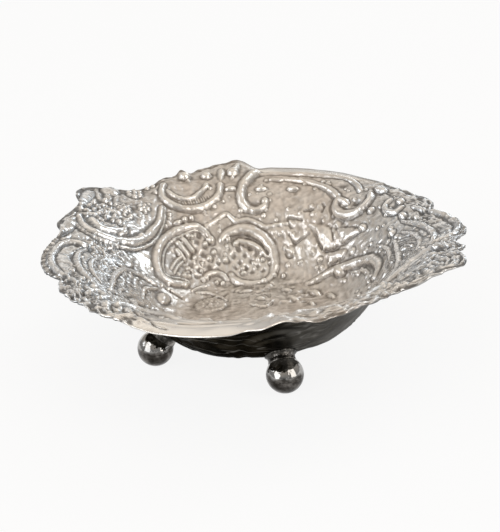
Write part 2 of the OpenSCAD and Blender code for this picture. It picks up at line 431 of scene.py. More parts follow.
    def ribs(self, first, last, count, inner, outer, height):
        """Short ribs across a band between two angles and two radii."""
        middle, half = (first + last) / 2, (last - first) / 2
        gap = turn_gap(self.angle, middle, 180)
        rib = np.abs(np.cos(np.pi * count * gap / (2 * half)))
        fade = ramp(self.r, inner, inner + 0.8) * ramp(self.r, outer, outer - 0.8)
        fade = fade * ramp(np.abs(gap), half, half - 2)
        self.height += height * fade * (rib - 0.5)
        self.grime = np.maximum(self.grime, fade * ramp(rib, 0.95, 0.6))


# Scrolls: places along the crest, half width, height, and where they differ from the usual the side of the
# thin ridge and the width at both ends
SCROLLS = (
    # Basket in the raised corner
    (((57.5, 154), (54.7, 157), (51, 158), (47.5, 156), (44.5, 152), (42.7, 147.2), (42.2, 141),
      (43, 134.5), (45, 128.5), (48.7, 124)), 2.3, 1.35, -1, 0.8, 0.5),
    (((53.8, 152), (50.5, 152.5), (48, 149), (47, 144.5)), 1.5, 1.0, 0, 1.1, 0.6),
    # Ribbed end of the dish
    (((50.5, 166.5), (54, 167.5), (56.5, 171), (57.4, 176), (57.3, 181.5), (55.5, 188), (53.3, 194),
      (51.6, 201)), 1.6, 1.0, 0, 0.8, 0.6),
    (((49.6, 168.5), (50.8, 173), (50.6, 179), (49, 187), (46.6, 198)), 1.3, 0.8, 0, 0.6, 0.6),
    (((46, 170), (47, 176), (46.3, 184), (44.5, 192)), 0.9, 0.55, 0, 0.6, 0.6),
    # Trellis panels and the two large scrolls around them
    (((37.2, 110.5), (39.5, 112), (40.9, 114.7), (41.3, 118.5), (41.2, 123), (40.9, 127.5), (40, 133),
      (38.6, 138.5), (36.8, 143), (35, 146), (33.6, 146.8), (32.2, 145), (30.9, 140.5), (30, 136.3)),
     1.9, 1.15, 1, 0.6, 0.8),
    (((39, 123.4), (37.6, 122.6), (36.2, 121.8)), 1.15, 0.95, 0, 0.9, 0.9),
    (((38.6, 126.7), (37.2, 125.8), (35.6, 124.8)), 1.2, 0.9, 0, 0.9, 0.9),
    (((37.2, 129), (36.2, 128.6), (35, 128)), 0.9, 0.85, 0, 0.9, 0.9),
    (((35.6, 129.6), (35.2, 133), (34.7, 136), (34.2, 138.8)), 0.6, 0.8, 0, 0.9, 0.9),
    (((34.6, 129.8), (34.2, 133), (33.7, 136), (33.2, 138.4)), 0.5, 0.7, 0, 0.9, 0.9),
    (((36.8, 105.5), (38, 102), (38.6, 97), (38.3, 92.2), (37.2, 87.2), (35, 82.6), (32.8, 79.8),
      (30, 78.2), (27.1, 79.2), (25.2, 82)), 1.8, 1.15, 0, 0.6, 0.6),
    (((35.9, 97), (35.2, 92), (33.9, 87), (32, 83)), 1.0, 0.85, 0, 0.9, 0.5),
    # Festoon under the rim
    (((56.7, 118), (54.4, 120), (51.3, 121), (48.3, 119), (46.5, 115.5), (45.8, 111), (46.3, 107),
      (47.8, 103), (49.5, 100.7), (52, 99.6)), 1.5, 1.1, 0, 0.8, 0.8),
    (((54, 118), (51.4, 117), (49.7, 114.5), (49.5, 110.5), (51, 107), (52.8, 104.3)), 1.0, 0.8, 0, 0.8, 0.9),
    # Smooth lobe with its hook, borders and volute
    (((57.2, 87.2), (54.5, 89.3), (51.5, 91.5), (48.3, 92.8), (45.4, 92.8), (43.5, 90.6), (43, 87),
      (43.8, 84.2), (45.3, 83.8)), 1.7, 1.15, 0, 1.25, 0.7),
    (((56.3, 86), (56.4, 80), (56.2, 74), (56, 68), (55.8, 62), (55.2, 56), (53.3, 51), (51, 47.5)),
     1.3, 0.75, 0, 0.6, 0.9),
    (((53, 82), (53, 76), (52.3, 69.5), (51, 64), (49.3, 59), (47.5, 55)), 1.3, 0.85, 0, 0.6, 1.1),
    (((46.2, 50.3), (46.3, 53.6), (44.2, 53.3), (42.8, 49.8), (43, 45.5), (44.9, 41.8), (48, 40.8),
      (50, 42)), 1.7, 1.25, 0, 0.8, 0.8),
    (((50.7, 33), (48, 32.5), (46.8, 29), (47.7, 25.5), (50, 25.3)), 1.3, 0.95),
    # Crook of the cartouche on the floor's edge, and the lines around it
    (((24.6, 51.5), (29.5, 42), (31.8, 33.5), (33.8, 26.5), (35.5, 20), (36.3, 13.5), (36, 7), (34.2, 2.5)),
     1.6, 1.05, 0, 0.6, 0.7),
    (((31.5, 26), (33.2, 19), (33.6, 12), (32.4, 7)), 0.6, 0.4, 0, 0.5, 0.5),
    (((38.6, 22), (39.6, 14), (39.4, 6), (37.8, -1)), 0.7, 0.4, 0, 0.4, 0.5),
    # Small scrolls on the floor's edge
    (((28.2, 105.6), (26.6, 104.8), (24.6, 101.5), (23.4, 95.5), (24, 88)), 1.6, 1.3, 0, 0.7, 0.6),
    (((27, 109.3), (28.6, 110.9), (29.7, 114), (30, 118), (29.6, 121.8), (28.8, 124)), 1.1, 0.9),
    # Curls on the floor
    (((27.3, 136.8), (27.4, 130.8), (27, 125.1)), 0.6, 0.6),
    (((26.1, 135.3), (24.3, 128.6), (20.4, 125.8), (16.4, 125.3)), 0.6, 0.6),
    (((9.1, 107.8), (6, 74.3), (9.8, 65.9)), 0.6, 0.6),
    # Arch around the teardrop at the left end
    (((42, 191), (41, 176), (39.8, 165.5), (36.4, 158.8), (33.5, 156)), 1.1, 0.8, 0, 0.6, 0.7),
    (((33.8, 175), (34.3, 166), (32.6, 157.5)), 0.7, 0.5, 0, 0.6, 0.6),
    # Zigzag ribbon over the right trellis
    (((40.8, 110.5), (41.2, 107), (42.2, 103.4), (42.8, 100.1), (41.7, 98.4), (40.5, 96.6), (40.6, 91.5),
      (39.6, 87.4), (38.6, 83.8), (39, 78.7), (39.4, 73.6)), 0.8, 0.55, 0, 0.6, 0.6),
)

# Beads, and bars that are longer along the rim: place, radius, height, stretch
BEADS = (
    ((36.7, 102), 0.9, 0.9), ((35.5, 98.6), 1.0, 1.0), ((37.3, 110.4), 1.3, 1.2),
    ((36.7, 113.7), 0.9, 0.9), ((34.5, 111), 0.9, 1.0), ((33.5, 114.6), 1.0, 1.0),
    ((32.3, 106.3), 1.0, 1.0), ((39.1, 118.6), 0.7, 0.8), ((34.5, 122), 0.8, 0.8),
    ((28.2, 97.5), 0.8, 0.7, 1.4), ((27, 117), 0.8, 0.8), ((26.2, 113.4), 0.8, 0.8),
    ((24.4, 84.6), 1.1, 1.1), ((29.8, 138), 1.4, 1.2), ((56.7, 118), 1.3, 1.0),
    ((52.7, 104.5), 1.3, 1.1), ((52.2, 99.6), 1.2, 1.0), ((58.6, 109.7), 2.2, 1.7),
    ((56.2, 109.5), 0.8, 0.6), ((57.3, 103), 2.0, 1.5), ((55.2, 121.8), 0.9, 0.7),
    ((58.3, 120.8), 1.0, 0.6), ((58.2, 123), 0.9, 0.6), ((57, 94.5), 2.2, 1.4),
    ((45.3, 83.8), 1.3, 1.1), ((53.1, 40.5), 1.7, 1.1, 1.6), ((51.4, 28.7), 1.6, 1.1),
    ((47.7, 20.6), 1.4, 1.1, 1.2), ((42.8, 16.8), 1.3, 1.0), ((49.5, 13.6), 1.1, 0.8),
    ((45.5, 36.6), 1.3, 0.9), ((41, 35.2), 1.1, 0.8, 1.4), ((35.6, 33), 1.1, 0.7),
    ((30.6, 34.2), 1.6, 1.35, 1.4), ((43.3, 121.6), 0.9, 0.9, 1.8), ((43.6, 118.2), 1.0, 0.9, 1.2),
    ((43.5, 115), 0.9, 0.8), ((42.2, 118.7), 0.7, 0.8), ((50.2, 96.5), 1.0, 0.9, 2.0),
    ((49.3, 85.2), 1.0, 0.9, 2.1), ((49.1, 73.4), 1.1, 0.9, 2.0), ((30, 160.6), 2.0, 1.1, 1.4),
    ((51.6, 151.8), 0.9, 0.9, 2.2), ((46.4, 147), 1.0, 0.9, 2.4), ((43.4, 141.4), 1.0, 1.5, 1.5),
    ((44.9, 154.4), 0.8, 0.8, 2.4), ((21.3, 37.5), 1.3, 1.0, 2.0), ((14.2, 44.5), 1.1, 0.9, 2.0),
    ((23.5, 24), 0.9, 0.7, 2.4), ((18.3, 101), 1.0, 0.8, 2.2), ((11.6, 86.3), 0.9, 0.8, 1.8),
    ((20.8, 79.4), 0.8, 0.9, 1.4), ((18.6, 62.3), 0.9, 0.8, 2.0), ((26.5, 71.6), 0.8, 0.8),
    ((22.7, 78.2), 0.8, 0.9), ((26.8, 77.8), 0.9, 0.9), ((19.7, 107.4), 0.8, 0.8, 1.4),
    ((16.8, 89.4), 0.8, 0.7, 2.0), ((8.3, 70.1), 0.7, 0.7, 1.5), ((16.2, 18), 0.9, 0.8, 1.5),
    ((29.4, 124), 0.8, 0.9), ((29.2, 121.2), 0.8, 0.9),
    ((31.7, 133.5), 0.8, 0.8), ((31.1, 131.2), 0.8, 0.8), ((32.8, 128.7), 0.7, 0.8, 1.5),
    ((39.5, 120.2), 0.7, 0.8), ((32, 51.2), 1.0, 1.0),
)

# Crumpled leaves: places around the outline, and height
LEAVES = (
    (((39.5, 63.4), (39.7, 57), (39.4, 52.2), (39, 46.9), (37.3, 42.1), (34.9, 46.1), (34.4, 50.5),
      (35.2, 54.3), (37.2, 58.5)), 0.8),
    (((38.8, 48.5), (39.9, 45), (40.6, 38.1), (39.9, 34.8), (37.7, 38.2), (36.3, 41.3)), 0.7),
    (((33.7, 72.8), (34.4, 69.7), (33.2, 67.2), (32.3, 67.9), (32.7, 71.4)), 0.9),
    (((33.6, 59.4), (34.4, 57.5), (33.4, 55.1), (32.8, 56.4)), 0.8),
    (((32.5, 47.1), (33.8, 47.3), (35, 42.3), (35.5, 37.6), (34, 37.3), (32.3, 41.3), (31.8, 44.9)), 0.8),
    (((53.7, 99), (57, 99.6), (60.5, 98), (58, 96.6)), 0.8),
    (((53.3, 95.5), (58.5, 95), (62.5, 92), (58, 92.3)), 0.8),
)

# Chased lines that part the leaves
LEAF_LINES = (
    ((39.3, 52.2), (38.2, 50.1), (36.4, 46.9)),
    ((38.1, 71), (39.3, 73), (40.5, 73.2), (40.4, 69.8), (40, 66)),
    ((37.2, 58.5), (34.8, 53.9), (34.1, 50.2), (34.6, 45.8), (36.3, 41.3), (39.9, 35.1)),
    ((37, 72.2), (35, 68.5), (36.1, 64.7), (37.5, 61.3)), ((33.9, 36.3), (32.1, 41), (30.9, 45.1)),
    ((42.2, 67), (43.2, 62.5)), ((45, 60), (43.8, 58.6), (42.4, 58.8)), ((33, 73), (31.8, 71), (32, 67.5)),
    ((31.5, 152.1), (29.5, 149.6), (26.8, 147.9)),
)
LEAF_LINE = 0.45

# Creases in the near lip, on that side alone: places along them, and half width
LIP_LINES = (
    (((55.4, 247.5), (55.1, 252.9), (54.4, 258.1)), 0.8), (((53.4, 259), (52.8, 264), (54, 268.5)), 0.8),
    (((53.5, 223.9), (54.9, 227.6), (52.2, 227.6), (51, 230), (53.4, 235.8), (55.8, 240.2)), 0.9),
    (((55.8, 240.2), (57.8, 242.8), (59.1, 246.7)), 0.3),
)

# Petals of the raised corner, on that side alone: places around the outline, height, and crumpling
PETALS = (
    (((57.7, 151.3), (60.6, 149.5), (64, 143.5), (65.3, 140), (63, 138.4), (59.5, 144)), 0.9, 0.3),
    (((58, 167), (59.6, 161.5), (60.2, 157), (58.6, 153.6), (56.6, 155), (55.4, 161)), 0.9, 0.3),
    (((61.8, 137), (64, 135.5), (62.8, 131.5), (59.6, 131.8), (58.5, 135)), 0.8, 0.3),
)

# Deep hollows between the scrolls: place, radius, depth, stretch along the rim
HOLLOWS = (
    ((51.4, 10.6), 1.6, 0.7, 1.6), ((51.6, 356.8), 1.8, 0.7, 1.8), ((48.5, 167.5), 1.5, 0.6, 1.5),
    ((51.5, 55), 1.6, 0.6, 1.5), ((46.5, 46), 1.5, 0.8, 1.3), ((38.6, 115.5), 1.0, 0.5, 1),
    ((49, 28.8), 1.0, 0.7, 1), ((44.5, 88), 1.6, 0.6, 1.2), ((38.2, 68.4), 2.6, 0.35, 1.1),
)

# Flowers: place, ring radius, petals
FLOWERS = (((57.3, 128.2), 2.0, 6), ((50.5, 130.5), 1.5, 5), ((52.6, 137), 1.6, 6))

BERRY_CENTRE = (53.5, 143.5)
BERRY_SPREAD = 8.5
BERRIES = 130
OVAL_BOSS = (17.6, 144)

# Patches of ground painted bright as painted highlights, where the matting is also smoother: place, radius
PAINTED_HIGHLIGHTS = (((38.3, 149.8), 3.5), ((40.5, 147), 3.0), ((31.5, 34.5), 1.8), ((37.5, 52), 2.8))
GRAINS = 260

# Trellis, crumpled leaves and chased hatching: place, half size along the rim and outwards, then pitch and
# depth, height, or pitch and height
TRELLISES = (((34.5, 120), 8, 8, 2.6, 0.35), ((32.5, 92), 8, 7, 2.6, 0.4))
FOLIAGE = (
    ((38, 60), 17, 9, 0.4), ((45, 160), 7, 9, 0.6), ((40, 172), 10, 7, 0.6), ((45, 105), 6, 4, 0.3),
    ((52.5, 144), 10, 8, 1.0), ((17, 60), 12, 9, 0.65), ((18, 110), 10, 8, 0.65),
)
HATCHES = (((43, 174), 15, 7, 1.1, 0.6), ((46, 160), 6, 6, 1.0, 0.5))

# Flutes behind the basket: place, inner and outer reach, half spread in degrees, folds, height
BASKET_FLUTES = ((52, 144), 5.5, 17, 65, 9, 0.6)

# Ribs: first and last angle, count, inner and outer radius, height
FESTOON_RIBS = (103, 119.5, 16, 46.6, 49.4, 0.45)
END_RIBS = (167, 194, 24, 57.2, 62, 1.1)

# Crumpled stretches of the rim: first and last angle, depth from the edge, height
CRINKLES = ((-8, 48, 8, 0.6), (274, 350, 9, 1.5), (188, 240, 10, 1.4), (148, 172, 4, 0.5), (90, 150, 3, 0.35))

# Share of the relief that wear has taken from the near lip
WORN_OFF = 0.8


def ornament(r, angle):
    """Height of the whole ornament above the plain sheet, and the grime in its lines."""
    relief = Relief(r, angle)
    draw_ground(relief)
    draw_leaves(relief)
    draw_raised(relief)
    relief.height *= 1 - WORN_OFF * rim_wear(r, angle)
    relief.ribs(*END_RIBS)
    draw_rows(relief.crinkles, CRINKLES)
    relief.turns = AS_WRITTEN
    draw_rows(relief.chase, LIP_LINES)
    return relief.height, relief.grime


def draw_rows(shape, rows):
    """Draws one kind of ornament, once for each row of its table."""
    for row in rows:
        shape(*row)


def draw_ground(relief):
    """Trellis, foliage, flutes, ribs, hatching and grains, under all the rest."""
    draw_rows(relief.trellis, TRELLISES)
    draw_rows(relief.foliage, FOLIAGE)
    relief.flutes(*BASKET_FLUTES)
    relief.ribs(*FESTOON_RIBS)
    draw_rows(relief.hatch, HATCHES)
    sprinkle(relief)


def draw_leaves(relief):
    """Leaves with their lines, and the basket's petals and berries, which one side alone has."""
    draw_rows(relief.lobe, LEAVES)
    for line in LEAF_LINES:
        relief.chase(line, LEAF_LINE)
    relief.turns = AS_WRITTEN
    draw_rows(relief.lobe, PETALS)
    berries(relief)
    relief.turns = BOTH_HALVES


def draw_raised(relief):
    """Scrolls, beads, flowers and the floor's boss, and the hollows between them."""
    draw_rows(relief.scroll, SCROLLS)
    draw_rows(relief.bead, BEADS)
    for blossom in FLOWERS:
        flower(relief, *blossom)
    oval_boss(relief)
    draw_rows(relief.hollow, HOLLOWS)


def flower(relief, place, ring, petals):
    around = sheet_r(np.float64(place[0]))
    for k in range(petals):
        turn = 2 * math.pi * k / petals
        side = math.degrees(ring * math.cos(turn) / around)
        relief.bead((place[0] + ring * math.sin(turn) / WALL_STRETCH, place[1] + side), 0.62 * ring, 0.8)
    relief.bead(place, 0.55 * ring, 1.1)


def berries(relief):
    """Berries of several sizes, packed unevenly in the basket."""
    draw = np.random.RandomState(3)
    placed = []
    for _ in range(BERRIES):
        along, up = BERRY_SPREAD * (2 * draw.rand(2) - 1)
        size = 0.55 + 0.85 * draw.rand() ** 2
        crowded = any(math.hypot(along - a, up - b) < 0.95 * (size + s) for a, b, s in placed)
        if crowded or math.hypot(along, 1.25 * up) > BERRY_SPREAD:
            continue
        placed.append((along, up, size))
        r = BERRY_CENTRE[0] + up / WALL_STRETCH
        angle = BERRY_CENTRE[1] + math.degrees(along / sheet_r(np.float64(r)))
        relief.bead((r, angle), size, 0.6 + 0.6 * size)


def sprinkle(relief):
    """Small punched grains over the matted ground."""
    draw = np.random.RandomState(9)
    for _ in range(GRAINS):
        place = (29 + 24 * draw.rand(), 180 * draw.rand())
        relief.bead(place, 0.45 + 0.4 * draw.rand(), 0.3 + 0.2 * draw.rand())


def oval_boss(relief):
    """Flat-topped boss on the dish's floor with rings of beads."""
    relief.bead(OVAL_BOSS, 4.8, 0.45, 1.05, square=6)
    centre = on_sheet(OVAL_BOSS)
    for ring, count, size, height in ((4.2, 22, 0.5, 0.6), (2.2, 9, 0.6, 0.9), (0, 1, 0.7, 1.0)):
        for k in range(count):
            turn = 2 * math.pi * k / count
            spot = centre + ring * np.array((math.cos(turn), math.sin(turn)))
            relief.bead((np.hypot(*spot), math.degrees(math.atan2(spot[1], spot[0]))), size, height)


def rim_wear(r, angle):
    """1 where handling has worn the relief of the rim smooth, on the side towards -Y."""
    gap = turn_gap(angle, WORN_LIP)
    inner = 0.92 - 0.12 * ramp(gap, -26, -12)
    return ramp(gap, -44, -34) * ramp(gap, 48, 38) * ramp(r / rim_reach(angle), inner - 0.03, inner + 0.02)


def plain_lip(r, angle):
    """1 on the smooth edge of the rim and on its plain stretches, 0 on matted ground."""
    share = r / rim_reach(angle)
    lobe = ramp(np.abs(turn_gap(angle, PLAIN_LOBE)), 20, 16) * ramp(share, 0.915, 0.935)
    edge = ramp(np.abs(turn_gap(angle, PLAIN_EDGE)), 26, 20) * ramp(share, 0.955, 0.975)
    worn = rim_wear(r, angle) * ramp(turn_gap(angle, WORN_LIP), 22, 10)
    return np.maximum(np.maximum(lobe, edge), worn)


def edge_shade(r, angle):
    """1 on the thin dark line along the rim's edge, on the side towards +Y."""
    return ramp(np.abs(turn_gap(angle, FAR_RIM)), 85, 70) * ramp(rim_reach(angle) - r, 2.2, 1.1)


def painted_highlights(r, angle):
    """1 on the patches of ground painted bright as painted highlights, 0 elsewhere."""
    x, y = plan_xy(sheet_r(r), angle)
    highlight_patch = np.zeros_like(r)
    for place, radius in PAINTED_HIGHLIGHTS:
        centre = on_sheet(place)
        highlight_patch = np.maximum(highlight_patch, ramp(np.hypot(x - centre[0], y - centre[1]), radius, 0.5 * radius))
    return highlight_patch


def matting(r, angle):
    """Small uneven bumps of the chased ground."""
    x, y = plan_xy(sheet_r(r), angle)
    fine = value_noise(x, y, 0.95, 51) - 0.5
    coarse = crease_noise(x, y, 2.3, 52) - 0.5
    return 0.24 * fine + 0.26 * coarse


def dents(r, angle):
    """Slight unevenness of hand-worked sheet."""
    x, y = plan_xy(r, angle)
    return 0.5 * (value_noise(x, y, 9, 61) - 0.5) + 0.15 * (value_noise(x, y, 3.5, 62) - 0.5)


def seat_fade(r, angle):
    """0 at each foot's seat, 1 away from it."""
    x, y = plan_xy(r, angle)
    fade = np.ones_like(r)
    for centre, _ in BALLS.values():
        aim = math.atan2(centre.y, centre.x)
        gap = np.hypot(x - SEAT_RADIUS * math.cos(aim), y - SEAT_RADIUS * math.sin(aim))
        fade = np.minimum(fade, np.clip(gap / SEAT_CLEAR - 0.5, 0, 1))
    return fade


def foot_balls():
    """Middle and radius of each foot's ball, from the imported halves."""
    balls = {}
    for foot in ("front", "left", "back"):
        low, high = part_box(f"{foot}_foot_upper_half")
        middle = Vector(((low.x + high.x) / 2, (low.y + high.y) / 2, low.z)) / MM
        balls[foot] = (middle, (high.x - low.x) / 2 / MM)
    return balls


BALLS = foot_balls()


def ring_radii(angle, floor_rings, wall_rings, lip_rings):
    """Plan radius of every ring at every angle, the innermost ring first."""
    floor = FLOOR_RADIUS * np.arange(1, floor_rings + 1) / floor_rings
    wall = FLOOR_RADIUS + (LIP_RADIUS - FLOOR_RADIUS) * np.arange(1, wall_rings + 1) / wall_rings
    fixed = np.repeat(np.concatenate((floor, wall))[:, None], len(angle), axis=1)
    share = np.arange(1, lip_rings + 1)[:, None] / lip_rings
    edge = rim_reach(angle) - EDGE_ROUND
    return np.vstack((fixed, LIP_RADIUS + (edge[None, :] - LIP_RADIUS) * share))


def shell_points(surface, r, angle, offset):
    """Places set off from a surface along its normal."""
    lean = np.arctan((surface(r + 0.1, angle) - surface(r - 0.1, angle)) / 0.2)
    x, y = plan_xy(r - offset * np.sin(lean), angle)
    return np.stack((x, y, surface(r, angle) + offset * np.cos(lean)), -1)


def blurred(field, passes):
    """Field smoothed around and across the rings."""
    out = field.copy()
    for _ in range(passes):
        out = (np.roll(out, 1, 1) + out + np.roll(out, -1, 1)) / 3
        padded = np.vstack((out[:1], out, out[-1:]))
        out = (padded[:-2] + padded[1:-1] + padded[2:]) / 3
    return out


def net_faces(rings, steps, first):
    """Quads of a net of rings, facing up."""
    ring, i = np.meshgrid(np.arange(rings - 1), np.arange(steps), indexing="ij")
    a = first + ring * steps + i
    b = first + ring * steps + (i + 1) % steps
    return np.stack((a, a + steps, b + steps, b), -1).reshape(-1, 4)


OVER_STEPS, OVER_RINGS = 840, (60, 68, 74)
UNDER_STEPS, UNDER_RINGS = 420, (12, 44, 44)


def dish_net(steps, rings):
    """Radius and angle grids of one side of the sheet."""
    angle = np.arange(steps) * 360 / steps
    r = ring_radii(angle, *rings)
    return r, np.broadcast_to(angle, r.shape).copy()


# Smoothing passes that part fine and broad relief, distances along X between which the silver turns to that
# of the dish's ends, lower in roughness and painted cooler as painted light, and the darkening of the bare
# floor and the painted shadow along the far rim's edge
FINE_BLUR, BROAD_BLUR = 4, 20
ENDS_FROM, ENDS_FULL = 20, 42
FLOOR_SHADE = 0.15
EDGE_SHADE = 0.85


def upper_side():
    """Points of the upper side and the rim's edge, and what the silver shows at each."""
    r, angle = dish_net(OVER_STEPS, OVER_RINGS)
    raised, lines = ornament(r, angle)
    # The plain lip, and the patches of ground painted bright as painted highlights, where the matting is
    # smoother
    plain, highlight_patch = plain_lip(r, angle), painted_highlights(r, angle)
    ground = (1 - plain) * (1 - 0.35 * ramp(raised, 0.3, 0.8))
    matted = matting(r, angle) * ground * (1 - 0.6 * highlight_patch)
    carved = raised + matted + dents(r, angle)
    over = shell_points(over_z, r, angle, SHEET + carved)
    edge = shell_points(over_z, rim_reach(angle[0]), angle[0], SHEET / 2 + carved[-1])

    shaded = raised + 0.5 * matted
    fine, broad = shaded - blurred(shaded, FINE_BLUR), shaded - blurred(shaded, BROAD_BLUR)
    ends = ramp(np.abs(plan_xy(r, angle)[0]), ENDS_FROM, ENDS_FULL)
    bare_floor = ramp(r, 34, 20) * (1 - ramp(raised, 0.1, 0.4))
    # Dark oxide in the fine hollows and the chased lines, and painted shade: the broad term darkens the wide
    # hollows between high relief, the ends get stronger painted shade, the bare floor is darkened, the far
    # rim's edge gets a painted shadow, and the painted highlight patches are kept clear
    dark = (0.8 + ends) * (-4 * fine - 1.8 * broad) + lines
    dark += FLOOR_SHADE * bare_floor + EDGE_SHADE * edge_shade(r, angle) - highlight_patch
    # crest: high points painted bright, partly polish and partly painted highlight, with the painted
    # highlight patches added
    values = {
        "oxide_and_shade": np.clip(dark, 0, 1),
        "ends": ends,
        "crest": np.clip(4 * fine + highlight_patch, 0, 1),
        "plain": plain,
    }
    values = {name: np.concatenate((field.ravel(), field[-1])) for name, field in values.items()}
    return np.concatenate((over.reshape(-1, 3), edge)), values


def under_side():
    """Points of the underside, where the relief shows as shallow hollows."""
    r, angle = dish_net(UNDER_STEPS, UNDER_RINGS)
    pressed = ornament(r, angle)[0]
    pushed = np.minimum(BACK_SHARE * blurred(pressed, 2), pressed + SHEET - THINNEST)
    pushed += dents(r, angle)
    return shell_points(under_z, r, angle, pushed * seat_fade(r, angle)).reshape(-1, 3)


def dish_faces():
    """Faces of the upper side, and of the underside with the strip that joins it to the rim's edge."""
    over_rings, under_rings = sum(OVER_RINGS), sum(UNDER_RINGS)
    edge_first = over_rings * OVER_STEPS
    under_first = edge_first + OVER_STEPS
    over_middle = under_first + under_rings * UNDER_STEPS
    over_faces = net_faces(over_rings + 1, OVER_STEPS, 0).tolist()
    over_faces += [(over_middle, i, (i + 1) % OVER_STEPS) for i in range(OVER_STEPS)]
    under_faces = net_faces(under_rings, UNDER_STEPS, under_first)[:, ::-1].tolist()
    under_rim = over_middle - UNDER_STEPS
    for i in range(UNDER_STEPS):
        j = (i + 1) % UNDER_STEPS
        a, b, c = (edge_first + k % OVER_STEPS for k in (2 * i, 2 * i + 1, 2 * i + 2))
        under_faces.append((over_middle + 1, under_first + j, under_first + i))
        under_faces += [(under_rim + i, b, a), (under_rim + i, under_rim + j, b), (under_rim + j, c, b)]
    return over_faces, under_faces


def build_dish():
    upper, values = upper_side()
    under = under_side()
    middle = np.array(((0, 0, FLOOR_HEIGHT + SHEET), (0, 0, FLOOR_HEIGHT)))
    points = np.concatenate((upper, under, middle)) * MM
    points = np.clip(points, np.array(cad_low), np.array(cad_high))
    rest = np.zeros(len(under) + len(middle))
    values = {name: np.concatenate((field, rest)) for name, field in values.items()}
    over_faces, under_faces = dish_faces()
    dish = make_mesh("embossed_dish", points, over_faces + under_faces, values)
    slots = np.zeros(len(over_faces) + len(under_faces), np.int32)
    slots[len(over_faces):] = 1
    dish.data.polygons.foreach_set("material_index", slots)
    dish.data.materials.append(silver_inside())
    dish.data.materials.append(silver_underside())
    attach(dish, "root")
    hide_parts("dish_body")


def make_mesh(name, points, faces, values=None):
    mesh = bpy.data.meshes.new(name)
    mesh.from_pydata(points.tolist(), [], faces)
    for key, field in (values or {}).items():
        mesh.attributes.new(key, "FLOAT", "POINT").data.foreach_set("value", field.astype(np.float32))
    mesh.polygons.foreach_set("use_smooth", np.ones(len(mesh.polygons), bool))
    mesh.update()
    piece = bpy.data.objects.new(name, mesh)
    bpy.context.scene.collection.objects.link(piece)
    return piece


def closed_rings(name, rows, place):
    """A solid ring of rows of points, each row joined to the next and the last to the first."""
    count, steps = rows.shape[:2]
    faces = net_faces(count + 1, steps, 0)[:, (0, 3, 2, 1)] % (count * steps)
    piece = make_mesh(name, rows.reshape(-1, 3) * MM, faces.tolist())
    piece.data.transform(place)
    return piece


def lathe(name, profile, steps, place):
    """A solid turned about its own Z from (radius, height) points, then put in place."""
    profile = np.asarray(profile, float)
    turn = np.arange(steps) * 2 * math.pi / steps
    rows = np.stack((profile[:, :1] * np.cos(turn), profile[:, :1] * np.sin(turn),
                     np.repeat(profile[:, 1:], steps, axis=1)), -1)
    return closed_rings(name, rows, place)


def arc(radius, first, last, count):
    """(radius, height) points along an arc, by angle above the equator."""
    turn = np.radians(np.linspace(first, last, count))
    return [(max(POLE, radius * math.cos(t)), radius * math.sin(t)) for t in turn]


def build_foot(foot, polished, soldered):
    centre, radius = BALLS[foot]
    inner = radius - BALL_WALL
    place = Matrix.Translation(centre * MM)
    seam = math.degrees(SEAM / radius)
    flat = math.degrees(math.asin(centre.z / radius))
    flat_r = radius * math.cos(math.radians(flat))
    groove = [(radius - SEAM, 0)]
    upper = arc(radius, seam, 90, 40) + arc(inner, 90, 0, 16) + groove
    lower = (arc(inner, 0, -90, 16) + [(POLE, -centre.z), (flat_r - 0.05, -centre.z)]
             + arc(radius, -flat, -seam, 40) + groove)
    for half, profile in (("upper", upper), ("lower", lower)):
        piece = lathe(f"{foot}_foot_{half}_shell", profile, BALL_STEPS, place)
        piece.data.materials.append(polished)
        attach(piece, "root")
        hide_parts(f"{foot}_foot_{half}_half")
    build_solder(foot, soldered)


# Solder around a foot: distance from the seat's axis, and share of the way from the ball to the bowl
NECK = ((0.02, 0), (1.3, 0), (2.6, 0), (3.6, 0), (3.92, 0.0), (3.84, 0.12), (3.76, 0.28), (3.74, 0.45),
        (3.78, 0.58), (3.88, 0.68), (4.05, 0.78), (4.25, 0.84))
# Edge of the solder on the bowl: distance from the seat's axis, and distance above the underside
COLLAR = ((4.38, -0.38), (4.48, -0.3), (4.49, -0.12), (4.42, 0.1), (3.4, 0.2), (1.7, 0.2), (0.02, 0.2))


def seat_axes(centre):
    """Directions up the wall, along the rim and to the bowl at a foot's seat."""
    lean = math.atan((wall_z(SEAT_RADIUS + 0.1) - wall_z(SEAT_RADIUS - 0.1)) / 0.2)
    aim = math.atan2(centre.y, centre.x)
    outward = np.array((math.cos(aim), math.sin(aim), 0))
    along = np.array((-math.sin(aim), math.cos(aim), 0))
    upward = np.array((0, 0, 1))
    up_wall = outward * math.cos(lean) + upward * math.sin(lean)
    to_bowl = upward * math.cos(lean) - outward * math.sin(lean)
    return up_wall, along, to_bowl


def build_solder(foot, soldered):
    """Waisted neck of solder from the ball to the bowl, with a thin edge that follows the bowl."""
    centre, radius = BALLS[foot]
    up_wall, along, to_bowl = seat_axes(centre)
    turn = np.arange(COLLAR_STEPS)[:, None] * 2 * math.pi / COLLAR_STEPS
    side = np.cos(turn) * up_wall + np.sin(turn) * along

    def bowl_reach(out):
        """Distance along to_bowl at which each line out from the axis meets the underside."""
        low, high = np.zeros(COLLAR_STEPS), np.full(COLLAR_STEPS, 14.0)
        for _ in range(24):
            half = (low + high) / 2
            p = np.array(centre) + out * side + half[:, None] * to_bowl
            above = p[:, 2] > wall_z(np.hypot(p[:, 0], p[:, 1]))
            low, high = np.where(above, low, half), np.where(above, half, high)
        return low

    def ring(out, reach):
        return np.array(centre) + out * side + reach[:, None] * to_bowl

    rows = []
    for out, share in NECK:
        ball = math.sqrt(radius ** 2 - out ** 2) - 0.02
        rows.append(ring(out, ball + share * (bowl_reach(out) - ball)))
    rows += [ring(out, bowl_reach(out) + rise) for out, rise in COLLAR]
    piece = closed_rings(f"{foot}_foot_solder_collar", np.array(rows), Matrix.Identity(4))
    piece.data.materials.append(soldered)
    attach(piece, "root")
    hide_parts(f"{foot}_foot_solder")


